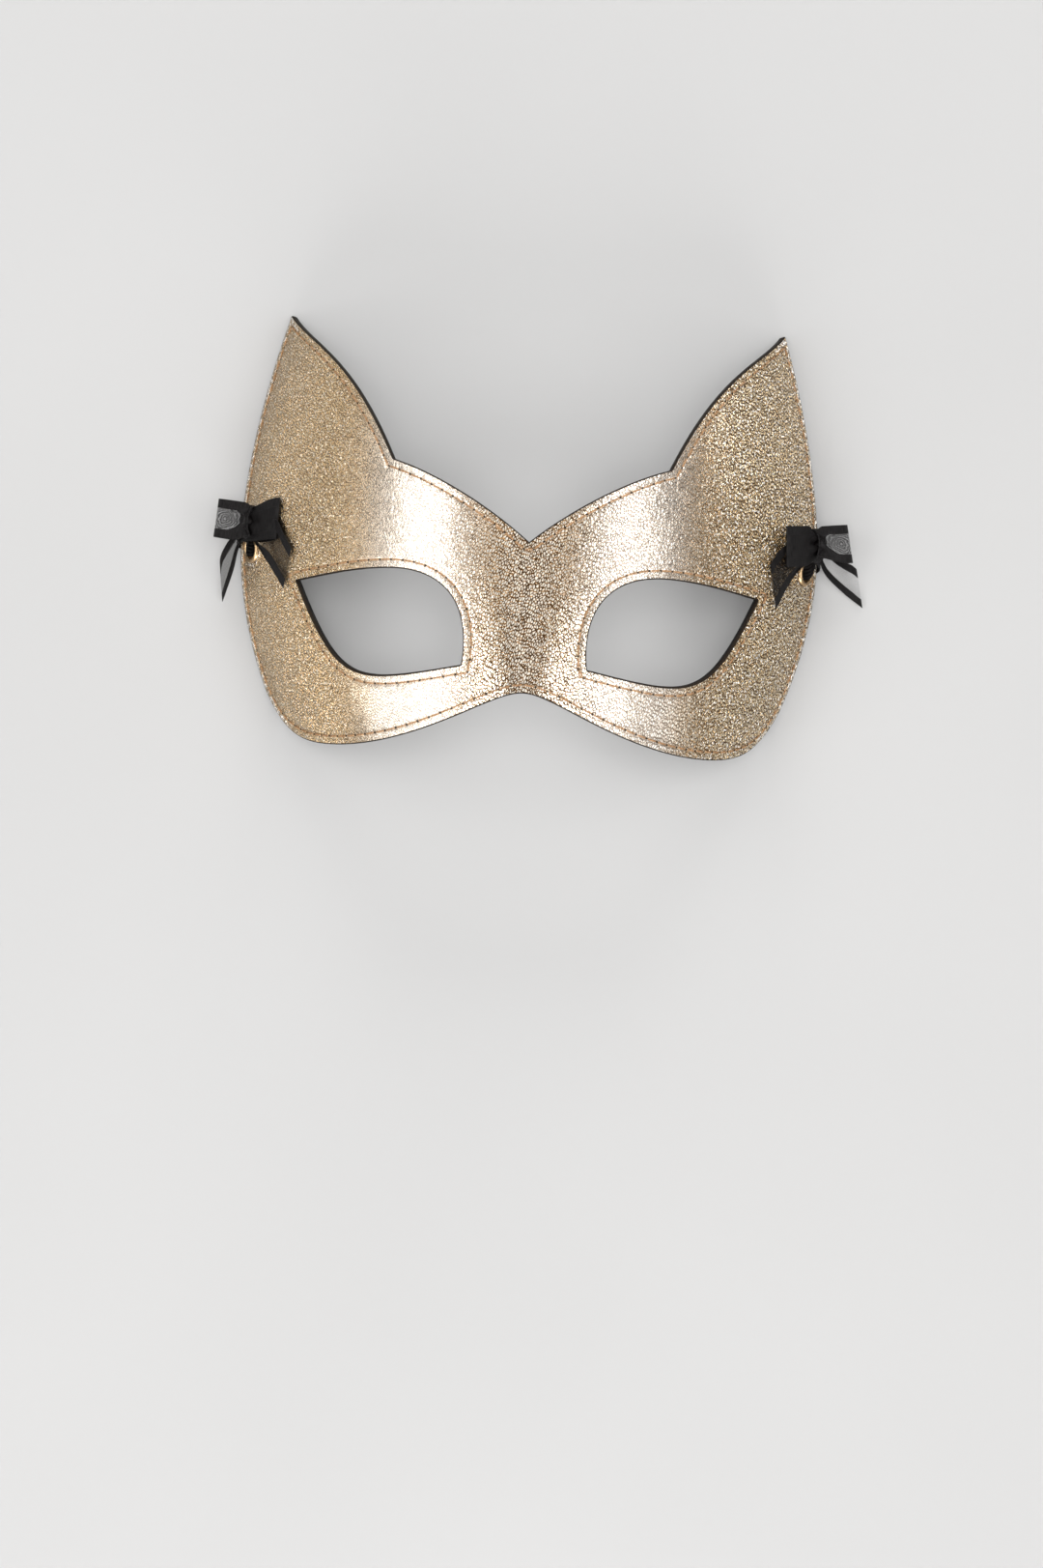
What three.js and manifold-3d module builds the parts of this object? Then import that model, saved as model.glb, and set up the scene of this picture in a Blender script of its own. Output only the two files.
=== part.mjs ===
// Cat mask: a half mask of gold grained leather, sewn to a black leather backing and bent to the
// face, with a brass eyelet and a black ribbon bow at each side.
//
// Frame, in millimetres: +X is the wearer's left, +Y runs towards the ear tips and +Z out of the
// face. The mask lies face up on its side edges, on the plane Z = 0.
//
// The leather is cut flat and then bent, so its outline is given on the flat pattern: s runs
// sideways from the middle line and v is the height. Depth is measured in from the gold face.

import * as THREE from 'three';
import { mergeVertices } from 'three/addons/utils/BufferGeometryUtils.js';
import Module from 'manifold-3d';

const wasm = await Module();
wasm.setup();

// Overall size of the bent mask
const maskHeight = 117.7;
const topV = maskHeight / 2;
const sideReach = 79.4;
const widestV = -2.3;
const crownHeight = 50.9;
const crownDrop = 6;

// How far the side edges draw in towards the ear tip and towards the cheek
const earNarrowing = { amount: 11.4, atV: topV, power: 1.7 };
const cheekNarrowing = { amount: 9.2, atV: -46, power: 2 };

// Height of the gold face at the side edge, and the arch that the ribbon passes under
const edgeHeight = 0.5;
const edgeLift = { height: 1.4, atV: -2.5, width: 14 };

// Low ridge over the bridge of the nose, from nothing at the brow to its full height at the arch
const noseRidge = { height: 2.4, width: 12 };

// Leather layers: depths below the gold face
const goldLeather = { top: 0, bottom: 0.85 };
const backing = { top: 1.1, bottom: 1.9 };

// Flat pattern of the right half: corners as [s, v]
const browPoint = [0, -3.25];
const earNotch = [38.5, 18];
const cheekV = -44;
const cheekBottom = [57, -topV];
const noseArch = [0, -43.4];
const eyeTop = [37.7, -11.3];
const eyeInnerCorner = [17, -36.4];
const eyeOuterCorner = [69.7, -15];

// Stitching
const seamInset = 2.3;
const thread = { width: 0.7, height: 0.45, clear: 0.3 };

// Eyelet and its hole through the leather
const eyelet = { s: 90.8, v: -6.3, bore: 2.45, barrel: 2.85, flange: 3.8, flangeThickness: 0.55 };
const fitGap = 0.3;

// Ribbon
const ribbon = { width: 10.4, thickness: 0.5, tieWidth: 3.4 };

// Mesh fineness: steps along each stretch of the outline and across the leather
const steps = { middle: 6, brow: 7, ear: 9, side: 17, cheek: 6, flank: 9 };
const rings = 4;

const gold = new THREE.MeshStandardMaterial({ color: 0xc8ad7e, roughness: 0.38, metalness: 0.9 });
const blackLeather = new THREE.MeshStandardMaterial({ color: 0x1a1817, roughness: 0.75, metalness: 0 });
const tanThread = new THREE.MeshStandardMaterial({ color: 0xc8965c, roughness: 0.7, metalness: 0 });
const brass = new THREE.MeshStandardMaterial({ color: 0xd9a860, roughness: 0.28, metalness: 1 });
const blackRibbon = new THREE.MeshStandardMaterial({ color: 0x151316, roughness: 0.6, metalness: 0 });

// Bent surface

function sideReachAt(v) {
  const narrowing = v > widestV ? earNarrowing : cheekNarrowing;
  const away = (v - widestV) / (narrowing.atV - widestV);
  return sideReach - narrowing.amount * away ** narrowing.power;
}

function crownAt(v) {
  return crownHeight - crownDrop * (v / topV) ** 2;
}

function bendAt(v) {
  const lift = edgeLift.height * Math.exp(-(((v - edgeLift.atV) / edgeLift.width) ** 2));
  const rise = crownAt(v) - edgeHeight - lift;
  const reach = sideReachAt(v);
  const radius = (reach ** 2 + rise ** 2) / (2 * rise);
  return { radius, halfWidth: radius * 2 * Math.atan(rise / reach) };
}

function ridgeAt(s, v) {
  const towardsArch = (browPoint[1] - v) / (browPoint[1] - noseArch[1]);
  const share = THREE.MathUtils.clamp(towardsArch, 0, 1);
  return noseRidge.height * share * Math.exp(-((s / noseRidge.width) ** 2));
}

function facePoint(s, v) {
  const { radius } = bendAt(v);
  const turn = s / radius;
  const z = crownAt(v) - radius * (1 - Math.cos(turn)) + ridgeAt(s, v);
  return new THREE.Vector3(radius * Math.sin(turn), v, z);
}

function faceNormal(s, v) {
  const step = 0.05;
  const across = facePoint(s + step, v).sub(facePoint(s - step, v));
  const up = facePoint(s, v + step).sub(facePoint(s, v - step));
  return across.cross(up).normalize();
}

function leatherPoint(s, v, depth) {
  return facePoint(s, v).addScaledVector(faceNormal(s, v), -depth);
}

// Flat pattern of the right half

function curve(start, handleA, handleB, end) {
  const corners = [start, handleA, handleB, end].map(([s, v]) => new THREE.Vector2(s, v));
  return new THREE.CubicBezierCurve(...corners);
}

function sideEdge(v) {
  return new THREE.Vector2(bendAt(v).halfWidth, v);
}

const cheekTop = sideEdge(cheekV).toArray();
const earTip = sideEdge(topV).toArray();

const flankCurve = curve(noseArch, [9.5, noseArch[1]], [26, -topV], cheekBottom);
const cheekCurve = curve(cheekBottom, [76, -topV], [84.2, -54], cheekTop);
const earCurve = curve(earTip, [67, 49.4], [52.5, 45], earNotch);
const browCurve = curve(earNotch, [25, 14.2], [10, 5.3], browPoint);
const eyeInnerCurve = curve(eyeTop, [15, eyeTop[1]], [16, -30], eyeInnerCorner);
const eyeBottomCurve = curve(eyeInnerCorner, [50, -43.2], [54, -41.7], eyeOuterCorner);
const eyeTopCurve = curve(eyeOuterCorner, [59, -13.5], [48, eyeTop[1]], eyeTop);

function alongCurve(source, count) {
  return source.getSpacedPoints(count).slice(0, count);
}

function alongLine(start, end, count) {
  const line = new THREE.LineCurve(new THREE.Vector2(...start), new THREE.Vector2(...end));
  return alongCurve(line, count);
}

function alongSide(count) {
  return Array.from({ length: count }, (_, i) => sideEdge(cheekV + ((topV - cheekV) * i) / count));
}

// Outline from the brow down the middle line, round the cheek and back over the ear
function halfOutline() {
  return [
    ...alongLine(browPoint, noseArch, steps.middle),
    ...alongCurve(flankCurve, steps.flank),
    ...alongCurve(cheekCurve, steps.cheek),
    ...alongSide(steps.side),
    ...alongCurve(earCurve, steps.ear),
    ...alongCurve(browCurve, steps.brow),
  ];
}

// Eye outline with as many points as the half outline, so that each pair makes a row of faces
function eyeOutline() {
  const outerSteps = steps.cheek + Math.round(steps.side * 0.55);
  const innerSteps = steps.middle + 4;
  const topSteps = steps.side + steps.cheek - outerSteps + steps.ear;
  const browSteps = steps.brow - 4;
  const loop = [
    ...alongCurve(eyeBottomCurve, steps.flank + outerSteps),
    ...alongCurve(eyeTopCurve, topSteps),
    ...alongCurve(eyeInnerCurve, browSteps + innerSteps),
  ];
  const start = loop.length - steps.middle;
  return [...loop.slice(start), ...loop.slice(0, start)];
}

// Solids from triangles, and the cuts

function closedGeometry(triangles) {
  const geometry = new THREE.BufferGeometry();
  const numbers = triangles.flatMap((corner) => corner.toArray());
  geometry.setAttribute('position', new THREE.Float32BufferAttribute(numbers, 3));
  return mergeVertices(geometry, 1e-4);
}

function toSolid(source) {
  const bare = source.clone();
  bare.deleteAttribute('normal');
  bare.deleteAttribute('uv');
  const merged = mergeVertices(bare, 1e-4);
  const vertProperties = Float32Array.from(merged.attributes.position.array);
  const triVerts = Uint32Array.from(merged.index.array);
  return new wasm.Manifold(new wasm.Mesh({ numProp: 3, vertProperties, triVerts }));
}

function toGeometry(solid) {
  const { vertProperties, triVerts } = solid.getMesh();
  const geometry = new THREE.BufferGeometry();
  geometry.setAttribute('position', new THREE.BufferAttribute(vertProperties, 3));
  geometry.setIndex(new THREE.BufferAttribute(triVerts, 1));
  return geometry;
}

function quad(a, b, c, d) {
  return [a, b, c, a, c, d];
}

function turnOver(triangles) {
  const flipped = [];
  for (let i = 0; i < triangles.length; i += 3) {
    flipped.push(triangles[i], triangles[i + 2], triangles[i + 1]);
  }
  return flipped;
}

// One bent layer of leather with both eye holes
function leatherLayer({ top, bottom }) {
  const outline = halfOutline();
  const eye = eyeOutline();
  const count = outline.length;
  const half = (side) => {
    const corner = (i, ring, depth) => {
      const at = eye[i % count].clone().lerp(outline[i % count], ring / rings);
      return leatherPoint(side * at.x, at.y, depth);
    };
    const triangles = [];
    for (let i = 0; i < count; i += 1) {
      for (let ring = 0; ring < rings; ring += 1) {
        const row = [[i, ring], [i, ring + 1], [i + 1, ring + 1], [i + 1, ring]];
        triangles.push(...quad(...row.map(([a, b]) => corner(a, b, top))));
        triangles.push(...turnOver(quad(...row.map(([a, b]) => corner(a, b, bottom)))));
      }
      const onMiddleLine = i < steps.middle;
      if (!onMiddleLine) {
        const wall = [[i, top], [i, bottom], [i + 1, bottom], [i + 1, top]];
        triangles.push(...quad(...wall.map(([a, depth]) => corner(a, rings, depth))));
      }
      const eyeWall = [[i, top], [i + 1, top], [i + 1, bottom], [i, bottom]];
      triangles.push(...quad(...eyeWall.map(([a, depth]) => corner(a, 0, depth))));
    }
    return side > 0 ? triangles : turnOver(triangles);
  };
  return closedGeometry([...half(1), ...half(-1)]);
}

// Places a shape made along +Z so that it stands on the gold face at [s, v]
function standOnFace(object, s, v) {
  const out = faceNormal(s, v);
  object.position.copy(facePoint(s, v));
  object.quaternion.setFromUnitVectors(new THREE.Vector3(0, 0, 1), out);
  return object;
}

function placedGeometry(geometry, s, v) {
  const object = standOnFace(new THREE.Mesh(geometry), s, v);
  object.updateMatrix();
  return geometry.clone().applyMatrix4(object.matrix);
}

function eyeletHole(side) {
  const depth = 12;
  const punch = new THREE.CylinderGeometry(eyelet.barrel + fitGap, eyelet.barrel + fitGap, depth, 20);
  punch.rotateX(Math.PI / 2);
  return toSolid(placedGeometry(punch, side * eyelet.s, eyelet.v));
}

function punched(layer) {
  return toSolid(layer).subtract(eyeletHole(1)).subtract(eyeletHole(-1));
}

function faceLeather() {
  return toGeometry(punched(leatherLayer(goldLeather)));
}

// The edges that touch the table are pressed flat, as soft leather is under its own weight
function backingLeather() {
  const size = 4 * sideReach;
  const table = new THREE.BoxGeometry(size, size, size).translate(0, 0, -size / 2);
  return toGeometry(punched(leatherLayer(backing)).subtract(toSolid(table)));
}

// Strips: a row of edge pairs, given a thickness across the strip

function stripGeometry(pairs, thickness) {
  const rows = pairs.map(([left, right], i) => {
    const before = pairs[Math.max(i - 1, 0)];
    const after = pairs[Math.min(i + 1, pairs.length - 1)];
    const middle = ([a, b]) => a.clone().add(b);
    const along = middle(after).sub(middle(before));
    const up = along.cross(right.clone().sub(left)).normalize().multiplyScalar(thickness / 2);
    return [
      left.clone().add(up),
      right.clone().add(up),
      right.clone().sub(up),
      left.clone().sub(up),
    ];
  });
  const triangles = [];
  for (let i = 0; i + 1 < rows.length; i += 1) {
    for (let k = 0; k < 4; k += 1) {
      const next = (k + 1) % 4;
      triangles.push(...quad(rows[i][k], rows[i + 1][k], rows[i + 1][next], rows[i][next]));
    }
  }
  const last = rows[rows.length - 1];
  triangles.push(...quad(...rows[0]));
  triangles.push(...quad(last[3], last[2], last[1], last[0]));
  return closedGeometry(triangles);
}

// Seam thread: lies on the gold face, a little way in from an edge, with mitred corners. Its two
// ends all but meet.

function insetLoop(points) {
  const count = points.length;
  const seam = points.map((point, i) => {
    const before = points[(i + count - 1) % count];
    const after = points[(i + 1) % count];
    const arriving = point.clone().sub(before).normalize();
    const leaving = after.clone().sub(point).normalize();
    const both = arriving.clone().add(leaving);
    const reach = seamInset / (1 + arriving.dot(leaving));
    return new THREE.Vector2(point.x + both.y * reach, point.y - both.x * reach);
  });
  const stopShort = 0.85;
  return [...seam, seam[count - 1].clone().lerp(seam[0], stopShort)];
}

function threadGeometry(path) {
  const pairs = path.map((point, i) => {
    const before = path[Math.max(i - 1, 0)];
    const after = path[Math.min(i + 1, path.length - 1)];
    const along = after.clone().sub(before).normalize().multiplyScalar(thread.width / 2);
    const raise = -(thread.clear + thread.height / 2);
    return [
      leatherPoint(point.x - along.y, point.y + along.x, raise),
      leatherPoint(point.x + along.y, point.y - along.x, raise),
    ];
  });
  return stripGeometry(pairs, thread.height);
}

function outlineSeam() {
  const right = [...halfOutline().slice(steps.middle), new THREE.Vector2(...browPoint)];
  const left = right.slice(1, -1).map((point) => new THREE.Vector2(-point.x, point.y));
  return threadGeometry(insetLoop([...left, ...right.reverse()]));
}

function eyeSeam(side) {
  const loop = insetLoop(eyeOutline());
  return threadGeometry(loop.map((point) => new THREE.Vector2(side * point.x, point.y)));
}

// Eyelet: a barrel through both leathers, with a rounded flange in front and a rolled rim behind
function eyeletGeometry() {
  const bendClearance = 0.1;
  const front = fitGap;
  const back = -(backing.bottom + fitGap + bendClearance);
  const { bore, barrel, flange, flangeThickness } = eyelet;
  const lip = 0.25;
  const profile = [
    [bore, back - flangeThickness + lip],
    [bore + lip, back - flangeThickness],
    [flange - lip, back - flangeThickness],
    [flange, back - lip],
    [flange - lip, back],
    [barrel, back],
    [barrel, front],
    [flange, front],
    [flange - lip, front + flangeThickness * 0.7],
    [(flange + bore) / 2, front + flangeThickness],
    [bore, front + flangeThickness * 0.6],
    [bore, back - flangeThickness + lip],
  ];
  const points = profile.map(([radius, height]) => new THREE.Vector2(radius, height));
  return new THREE.LatheGeometry(points, 16).rotateX(Math.PI / 2);
}

// Bow: the ribbon goes through the eyelet and round the edge of the mask, and is tied in front

const knotHalfSize = [2.2, 4.3, 2.1];

function knotCentre(knot) {
  return leatherPoint(knot.s, knot.v, -knot.out);
}

function knotGeometry(knot) {
  const centre = knotCentre(knot);
  const turn = knot.s / bendAt(knot.v).radius;
  const ball = new THREE.SphereGeometry(1, 12, 8).scale(...knotHalfSize).rotateY(turn / 2);
  return ball.translate(centre.x, centre.y, centre.z);
}

// A loop is a flattened oval seen from its edge, full width at the fold and gathered at the knot
function loopGeometry(knot, { direction, length, halfHeight, lean }) {
  const along = new THREE.Vector3(...direction).normalize();
  const across = new THREE.Vector3(-Math.sin(lean), Math.cos(lean), 0);
  const rise = along.clone().cross(across).normalize();
  const intoKnot = 0.8;
  const gathered = 0.74;
  const centre = knotCentre(knot).addScaledVector(along, length / 2 - intoKnot);
  const opening = THREE.MathUtils.degToRad(140);
  const count = 14;
  const pairs = [];
  for (let i = 0; i <= count; i += 1) {
    const angle = opening * (1 - (2 * i) / count);
    const at = centre.clone();
    at.addScaledVector(along, (length / 2) * Math.cos(angle));
    at.addScaledVector(rise, halfHeight * Math.sin(angle));
    const halfWidth = (ribbon.width / 2) * (gathered + (1 - gathered) * Math.cos(angle / 2) ** 2);
    const edge = (way) => at.clone().addScaledVector(across, way * halfWidth);
    pairs.push([edge(-1), edge(1)]);
  }
  return stripGeometry(pairs, ribbon.thickness);
}

function tailGeometry(pairs) {
  const edges = pairs.map((pair) => pair.map(([x, y, z]) => new THREE.Vector3(x, y, z)));
  const smooth = (side) => new THREE.CatmullRomCurve3(edges.map((pair) => pair[side])).getPoints(8);
  const left = smooth(0);
  const right = smooth(1);
  return stripGeometry(left.map((point, i) => [point, right[i]]), ribbon.thickness);
}

// The tail that lies over the leather follows the bent face, as pairs of [s, v, height above it]
function innerTailGeometry(pairs) {
  const lay = ([s, v, out]) => leatherPoint(s, v, -out).toArray();
  return tailGeometry(pairs.map((pair) => pair.map(lay)));
}

// The strand through the eyelet and round the edge, as [s, v, depth] from the knot and back to it
function tieGeometry(knot) {
  const edge = bendAt(eyelet.v).halfWidth;
  const behind = backing.bottom + fitGap + ribbon.thickness;
  const route = [
    [knot.s + 1.2, knot.v - 2.4, -2],
    [(knot.s + eyelet.s) / 2 + 0.6, -4.2, -2],
    [91.2, -5.8, -1.2],
    [90.8, -6.2, 0.6],
    [90.8, -6.2, 3.2],
    [91.4, -6.2, behind + 0.75],
    [95, -6, behind + 0.75],
    [edge - 0.8, -5.4, behind],
    [edge + 0.6, -4.8, backing.bottom],
    [edge + 0.8, -4.2, 1.2],
    [edge + 0.3, -3.4, -0.5],
    [97, -2.6, -1.2],
    [knot.s + 2, knot.v - 2.6, -2],
  ];
  const line = new THREE.CatmullRomCurve3(route.map(([s, v, depth]) => leatherPoint(s, v, depth)));
  const half = new THREE.Vector3(0, ribbon.tieWidth / 2, 0);
  const pairs = line.getPoints(26).map((at) => [at.clone().sub(half), at.clone().add(half)]);
  return stripGeometry(pairs, ribbon.thickness);
}

function bowGeometry(side, bow) {
  const pieces = [
    knotGeometry(bow.knot),
    loopGeometry(bow.knot, bow.outerLoop),
    loopGeometry(bow.knot, bow.innerLoop),
    innerTailGeometry(bow.innerTail),
    tailGeometry(bow.outerTail),
    tieGeometry(bow.knot),
  ];
  const whole = pieces.map(toSolid).reduce((joined, piece) => joined.add(piece));
  const geometry = toGeometry(whole);
  if (side < 0) {
    geometry.scale(-1, 1, 1);
    geometry.index.array.reverse();
  }
  return geometry;
}

// Both bows are given as on the left; the right one is mirrored. Outer tails are pairs of [x, y, z]
const leftBow = {
  knot: { s: 91.6, v: 1, out: 2.5 },
  outerLoop: { direction: [1, 0, 0.12], length: 10.2, halfHeight: 2.3, lean: 0.14 },
  innerLoop: { direction: [-0.56, -0.07, 0.83], length: 16, halfHeight: 1.5, lean: 0 },
  innerTail: [
    [[89.9, -0.8, 2.6], [88.8, 2.2, 2.6]],
    [[81.8, -6.1, 2.2], [79.5, 1.1, 1.8]],
    [[79.6, -11.4, 1.3], [75.1, -1.8, 1.3]],
    [[76.2, -17, 1.1], [72.4, -5.1, 1.1]],
  ],
  outerTail: [
    [[79.2, -1.1, 7], [81.4, 0.1, 8]],
    [[81.4, -6, 3.6], [85.6, -2.3, 6.5]],
    [[85.9, -10.6, 1.6], [87.8, -3.8, 5]],
    [[90.2, -14.6, 0.9], [88.4, -4.9, 3.6]],
  ],
};
const rightBow = {
  knot: { s: 87.8, v: 0.6, out: 2.5 },
  outerLoop: { direction: [1, 0.1, 0.12], length: 12.8, halfHeight: 2.3, lean: 0.14 },
  innerLoop: { direction: [-0.56, 0.08, 0.83], length: 15, halfHeight: 1.5, lean: 0.05 },
  innerTail: [
    [[86, -3.7, 2.4], [85.2, -1.7, 2.4]],
    [[82.5, -7.4, 2], [77.4, 1.6, 1.8]],
    [[78.6, -11.7, 1.3], [73.5, -2.6, 1.3]],
    [[73.8, -17, 1.1], [70.6, -6.2, 1.1]],
  ],
  outerTail: [
    [[76.6, -2.8, 10.9], [77.6, -0.4, 11.3]],
    [[78.8, -4.2, 7], [81.6, -3.7, 9]],
    [[80, -7.2, 4], [83.6, -7, 8.6]],
    [[81.1, -12.2, 2], [84.3, -9.2, 8.2]],
    [[83.7, -20.7, 0.9], [84.3, -11, 7.6]],
  ],
};

// Assembly

const mask = new THREE.Group();

function addPart(name, geometry, material) {
  const part = new THREE.Mesh(geometry, material);
  part.name = name;
  mask.add(part);
  return part;
}

addPart('face_leather', faceLeather(), gold);
addPart('backing_leather', backingLeather(), blackLeather);
addPart('outline_seam_thread', outlineSeam(), tanThread);
for (const [name, side] of [['left', 1], ['right', -1]]) {
  addPart(`${name}_eye_seam_thread`, eyeSeam(side), tanThread);
  standOnFace(addPart(`${name}_eyelet`, eyeletGeometry(), brass), side * eyelet.s, eyelet.v);
}
addPart('left_bow', bowGeometry(1, leftBow), blackRibbon);
addPart('right_bow', bowGeometry(-1, rightBow), blackRibbon);

export default mask;
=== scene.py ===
# Cat mask of gold leather with a black ribbon bow at each side, lying face up on a pale floor.
#
# Frame, in metres: +X is the wearer's left, +Y runs towards the ear tips and +Z out of the face.
# Both leathers are cut flat and then bent, so their outline is given on the flat pattern: s runs
# sideways from the middle line and v is the height. Depth is measured in from the gold face.

import math

import bpy
import numpy as np
from mathutils import Matrix, Vector, kdtree, noise
from mathutils.geometry import delaunay_2d_cdt


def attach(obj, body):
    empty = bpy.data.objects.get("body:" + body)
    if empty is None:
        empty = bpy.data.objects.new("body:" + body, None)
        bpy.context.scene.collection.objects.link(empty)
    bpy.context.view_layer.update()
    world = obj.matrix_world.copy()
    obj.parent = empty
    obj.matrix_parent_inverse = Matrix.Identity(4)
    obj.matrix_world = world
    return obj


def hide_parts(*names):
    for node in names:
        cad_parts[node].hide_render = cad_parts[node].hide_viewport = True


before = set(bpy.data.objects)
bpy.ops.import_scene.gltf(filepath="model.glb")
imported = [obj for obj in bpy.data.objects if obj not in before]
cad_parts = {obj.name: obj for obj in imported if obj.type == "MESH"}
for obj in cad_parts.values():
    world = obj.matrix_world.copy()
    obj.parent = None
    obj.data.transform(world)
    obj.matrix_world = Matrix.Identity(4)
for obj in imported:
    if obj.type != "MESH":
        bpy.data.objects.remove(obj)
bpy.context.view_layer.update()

bpy.ops.object.select_all(action="DESELECT")
mm = 0.001

# Gold face leather
# A single piece of soft goatskin with a crinkled gold foil finish, about 1 mm thick. It is cut
# flat with its two eye holes, sewn to the backing and bent over the face with it. The cut edges
# are rounded over and dyed black.

mask_height = 117.7 * mm
top_v = mask_height / 2
side_reach = 79.4 * mm
widest_v = -2.3 * mm
crown_height = 50.9 * mm
crown_drop = 6 * mm
ear_narrowing = {"amount": 11.4 * mm, "at_v": top_v, "power": 1.7}
cheek_narrowing = {"amount": 9.2 * mm, "at_v": -46 * mm, "power": 2}
edge_height = 0.5 * mm
edge_lift = {"height": 1.4 * mm, "at_v": -2.5 * mm, "width": 14 * mm}
nose_ridge = {"height": 2.4 * mm, "width": 12 * mm}
gold_front = 0
gold_rear = 0.85 * mm

brow_point = (0, -3.25 * mm)
ear_notch = (38.5 * mm, 18 * mm)
cheek_v = -44 * mm
cheek_bottom = (57 * mm, -top_v)
nose_arch = (0, -43.4 * mm)
eye_top = (37.7 * mm, -11.3 * mm)
inner_corner = (17 * mm, -36.4 * mm)
outer_corner = (69.7 * mm, -15 * mm)
eyelet_centre = (90.8 * mm, -6.3 * mm)
eyelet_hole_radius = 2.95 * mm

cut_spacing = 0.5 * mm
fine_spacing = 0.1 * mm
seam_inset = 2.3 * mm
stitch_length = 3.4 * mm


def narrowing_at(v, narrowing):
    away = np.clip((v - widest_v) / (narrowing["at_v"] - widest_v), 0, None)
    return narrowing["amount"] * away ** narrowing["power"]


def crown_at(v):
    return crown_height - crown_drop * (v / top_v) ** 2


def bend_at(v):
    """The radius of the bend at height v, and the flat width from the middle line to the side."""
    reach = side_reach - narrowing_at(v, ear_narrowing) - narrowing_at(v, cheek_narrowing)
    lift = edge_lift["height"] * np.exp(-(((v - edge_lift["at_v"]) / edge_lift["width"]) ** 2))
    rise = crown_at(v) - edge_height - lift
    radius = (reach**2 + rise**2) / (2 * rise)
    return radius, radius * 2 * np.arctan(rise / reach)


def face_point(s, v):
    """The place of a point of the flat pattern on the bent gold face."""
    radius, _ = bend_at(v)
    turn = s / radius
    towards_arch = np.clip((brow_point[1] - v) / (brow_point[1] - nose_arch[1]), 0, 1)
    ridge = nose_ridge["height"] * towards_arch * np.exp(-((s / nose_ridge["width"]) ** 2))
    height = crown_at(v) - radius * (1 - np.cos(turn)) + ridge
    return np.stack([radius * np.sin(turn), v, height], axis=-1)


def face_normal(s, v):
    step = 0.05 * mm
    across = face_point(s + step, v) - face_point(s - step, v)
    up = face_point(s, v + step) - face_point(s, v - step)
    out = np.cross(across, up)
    return out / np.linalg.norm(out, axis=-1, keepdims=True)


def leather_point(s, v, depth):
    """The place of a point of the flat pattern at a depth behind the gold face."""
    s, v, depth = np.broadcast_arrays(np.asarray(s, float), v, depth)
    return face_point(s, v) - depth[..., None] * face_normal(s, v)


def length_along(line):
    steps = np.linalg.norm(np.diff(line, axis=0), axis=1)
    return np.concatenate([[0], np.cumsum(steps)])


def at_even_steps(line, count):
    """A number of points along an open line, ends included."""
    length = length_along(line)
    at = np.linspace(0, length[-1], count)
    return np.stack([np.interp(at, length, column) for column in line.T], axis=1)


def evenly_spaced(line, spacing):
    """Points along an open line at even steps of about the spacing, without its last point."""
    steps = max(2, round(length_along(line)[-1] / spacing))
    return at_even_steps(line, steps + 1)[:-1]


def evenly_round(loop, spacing):
    """Points round a closed line at even steps of about the spacing."""
    return evenly_spaced(np.concatenate([loop, loop[:1]]), spacing)


def cut_line(start, handle_a, handle_b, end):
    """A curve that two handles draw towards them, without its last point."""
    start, handle_a, handle_b, end = map(np.array, (start, handle_a, handle_b, end))
    t = np.linspace(0, 1, 300)[:, None]
    near = (1 - t) ** 3 * start + 3 * (1 - t) ** 2 * t * handle_a
    far = 3 * (1 - t) * t**2 * handle_b
    return evenly_spaced(near + far + t**3 * end, cut_spacing)


def side_edge(v):
    """Where the side edge is on the flat pattern at height v."""
    return np.stack([bend_at(v)[1], v], axis=-1)


def mirrored(points):
    return points * np.array([-1, 1])


def outline_cut():
    """The mask's outline, anticlockwise from the nose arch."""
    cheek_top = side_edge(np.array(cheek_v))
    ear_tip = side_edge(np.array(top_v))
    right = np.concatenate(
        [
            cut_line(nose_arch, (9.5 * mm, nose_arch[1]), (26 * mm, -top_v), cheek_bottom),
            cut_line(cheek_bottom, (76 * mm, -top_v), (84.2 * mm, -54 * mm), cheek_top),
            evenly_spaced(side_edge(np.linspace(cheek_v, top_v, 200)), cut_spacing),
            cut_line(ear_tip, (67 * mm, 49.4 * mm), (52.5 * mm, 45 * mm), ear_notch),
            cut_line(ear_notch, (25 * mm, 14.2 * mm), (10 * mm, 5.3 * mm), brow_point),
        ]
    )
    return np.concatenate([right, [brow_point], mirrored(right[:0:-1])])


def eye_cut():
    """The eye hole on the wearer's left, clockwise, so that the leather is on its left."""
    anticlockwise = np.concatenate(
        [
            cut_line(inner_corner, (50 * mm, -43.2 * mm), (54 * mm, -41.7 * mm), outer_corner),
            cut_line(outer_corner, (59 * mm, -13.5 * mm), (48 * mm, eye_top[1]), eye_top),
            cut_line(eye_top, (15 * mm, eye_top[1]), (16 * mm, -30 * mm), inner_corner),
        ]
    )
    return anticlockwise[::-1]


def eyelet_cut():
    angle = np.linspace(0, -2 * np.pi, 41)[:-1]
    ring = np.stack([np.cos(angle), np.sin(angle)], axis=1)
    return np.array(eyelet_centre) + eyelet_hole_radius * ring


outline = outline_cut()
left_eye = eye_cut()
right_eye = mirrored(left_eye)[::-1]
left_eyelet_hole = eyelet_cut()
right_eyelet_hole = mirrored(left_eyelet_hole)[::-1]
sewn_cuts = [outline, left_eye, right_eye]
cuts = [*sewn_cuts, left_eyelet_hole, right_eyelet_hole]


class Nearest:
    """Measures how far places on the flat pattern are from the nearest of many points."""

    def __init__(self, points):
        self.tree = kdtree.KDTree(len(points))
        for i, (s, v) in enumerate(points):
            self.tree.insert((s, v, 0), i)
        self.tree.balance()

    def distance(self, places):
        return np.array([self.tree.find((s, v, 0))[2] for s, v in places])


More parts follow.
